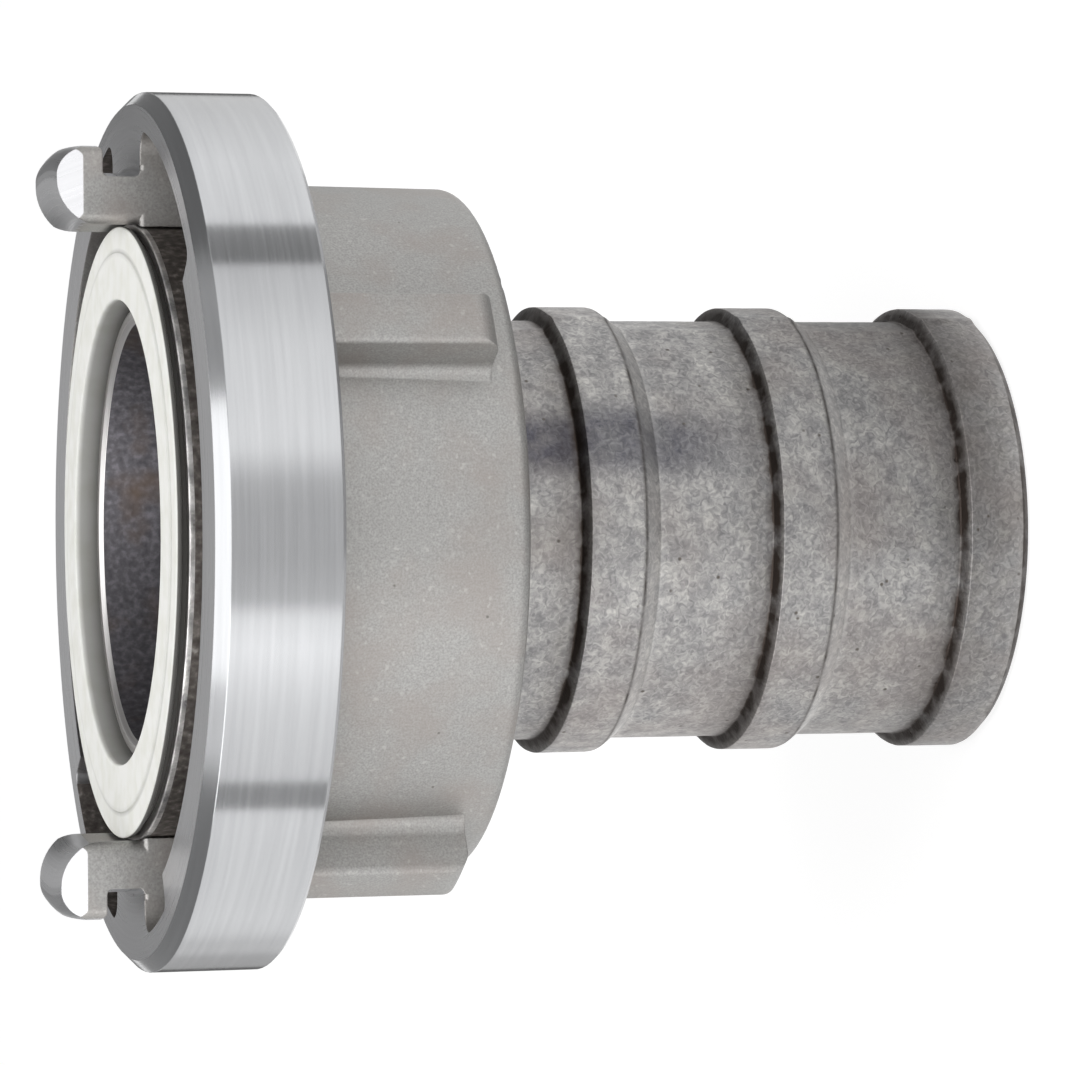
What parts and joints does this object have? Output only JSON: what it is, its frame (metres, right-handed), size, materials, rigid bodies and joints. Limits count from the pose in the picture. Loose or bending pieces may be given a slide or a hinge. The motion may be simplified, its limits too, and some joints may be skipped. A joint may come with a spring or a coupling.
{
  "type": "quarter turn fire hose coupling",
  "caption": "Half of a symmetrical quarter turn fire hose coupling: a claw ring that swivels on a barbed hose tail with a rubber face seal.",
  "frame": {"origin": "centre of the hose tail's lower end face, on the water axis", "axes": "+Z along the water axis from the hose end to the claws, +X through one claw"},
  "size_m": [0.126, 0.126, 0.1372],
  "materials": {
    "forged_aluminium": "forged and blasted matt, with turned faces bright",
    "cast_aluminium": "mottled grey casting skin",
    "seal_rubber": "off-white moulded rubber, dull",
    "spring_steel": "drawn spring wire"
  },
  "bodies": {
    "tail": {"hose_tail": "cast_aluminium", "face_seal": "seal_rubber"},
    "ring": {"claw_ring": "forged_aluminium", "retaining_wire": "spring_steel"}
  },
  "joints": [
    {"name": "ring_swivel", "type": "hinge", "parent": "tail", "child": "ring", "pos_m": [0, 0, 0.1], "axis": [0, 0, 1], "continuous": true}
  ]
}
